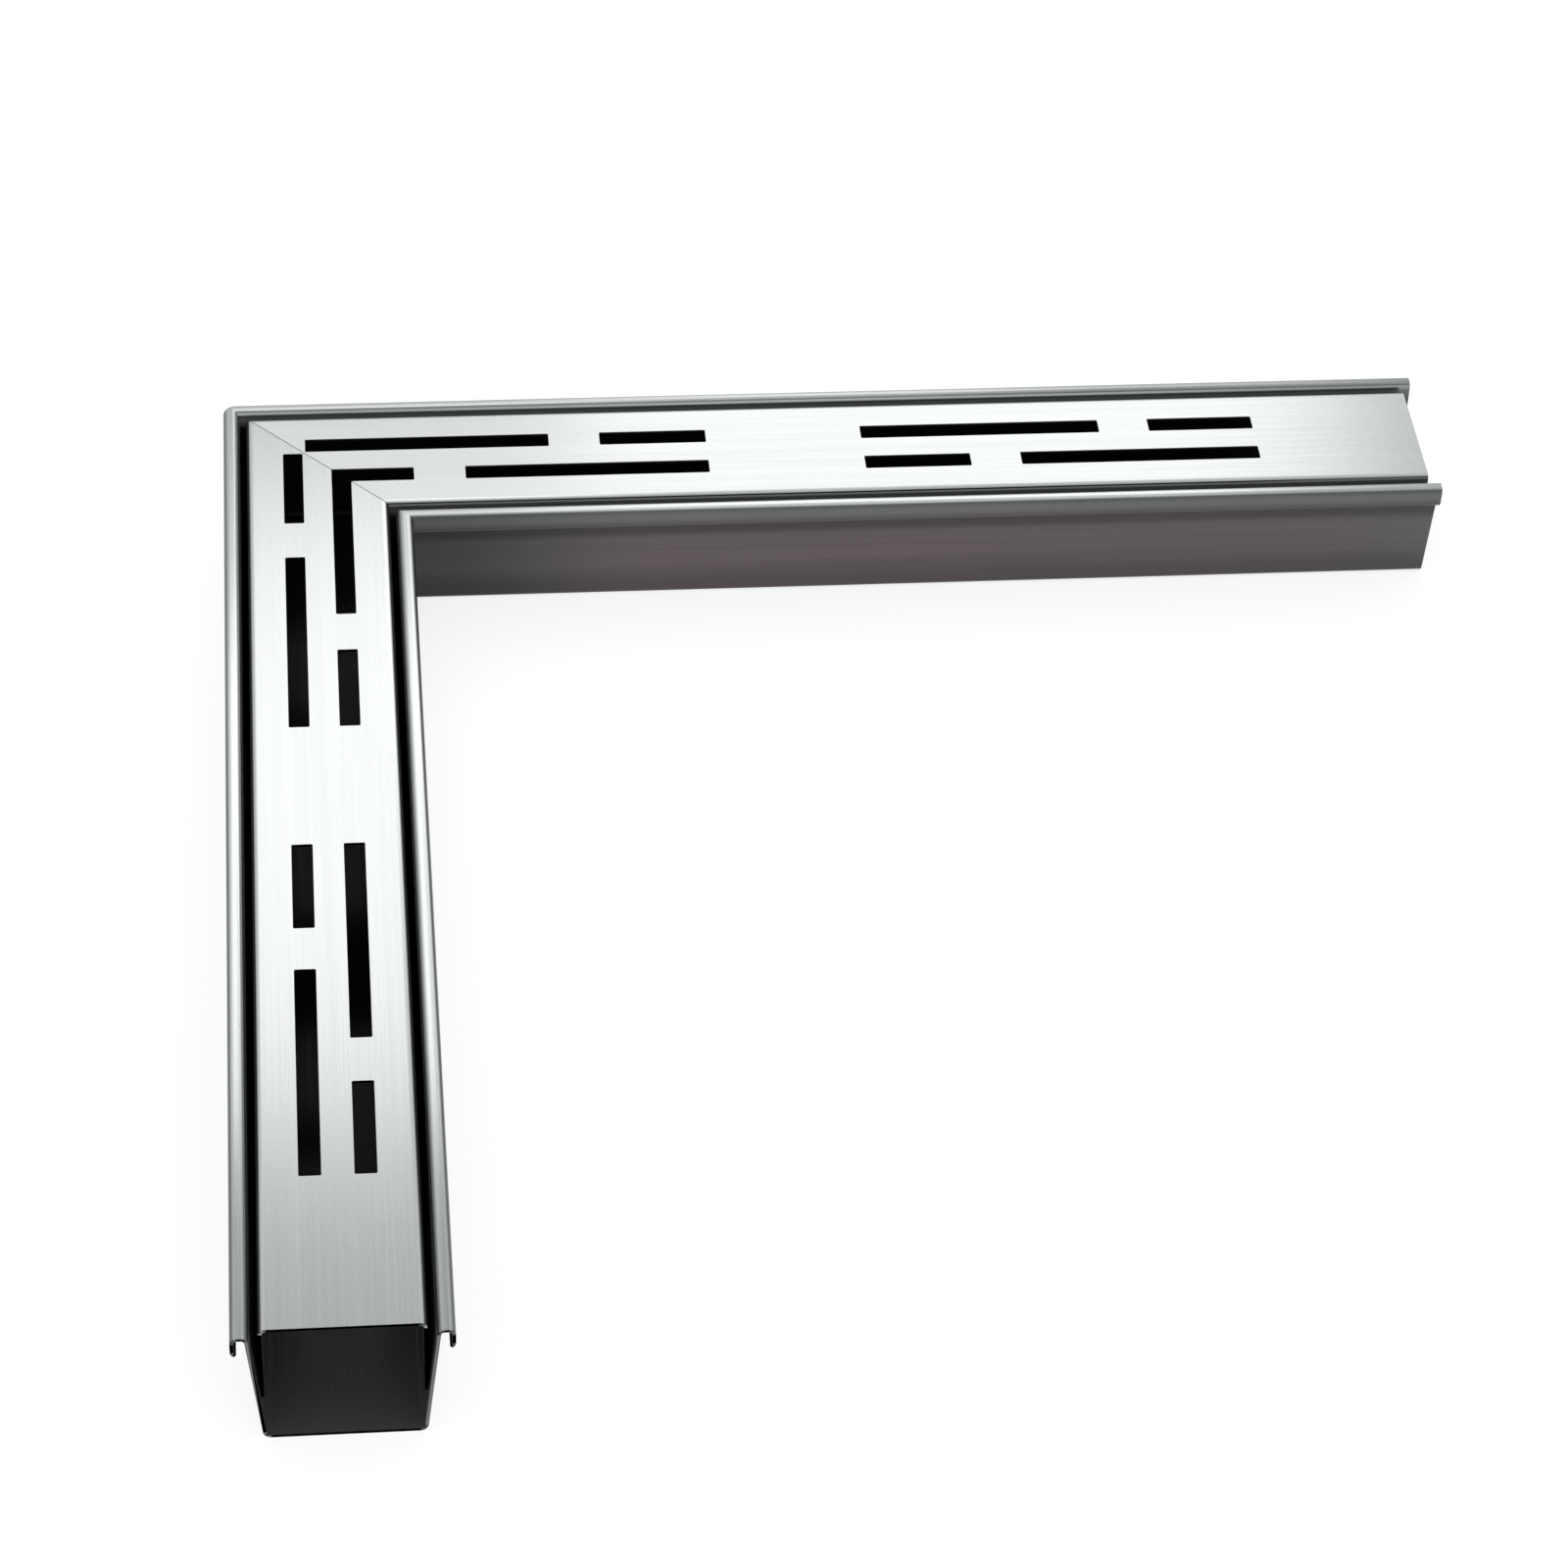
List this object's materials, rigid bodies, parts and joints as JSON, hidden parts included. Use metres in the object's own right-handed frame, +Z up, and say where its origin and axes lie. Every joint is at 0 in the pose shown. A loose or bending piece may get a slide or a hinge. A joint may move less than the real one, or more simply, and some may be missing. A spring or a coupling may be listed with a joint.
{
  "type": "linear drain corner",
  "caption": "L-shaped stainless linear drain corner with open ends: a mitred folded trough with rolled rims, carrying lift-out slotted covers that meet on the mitre.",
  "frame": {"origin": "on the flat underside, where the centre lines of the two arms cross", "axes": "+Z up out of the slotted covers, +X along the right arm to its open end, -Y along the front arm to its open end"},
  "size_m": [0.5, 0.5, 0.053],
  "materials": {
    "channel_steel": "brushed along each arm, 2B mill finish on the walls",
    "cover_steel": "brushed along each arm"
  },
  "bodies": {
    "root": {"channel_body": "channel_steel", "slotted_cover_right": "cover_steel", "slotted_cover_front": "cover_steel"}
  },
  "joints": []
}
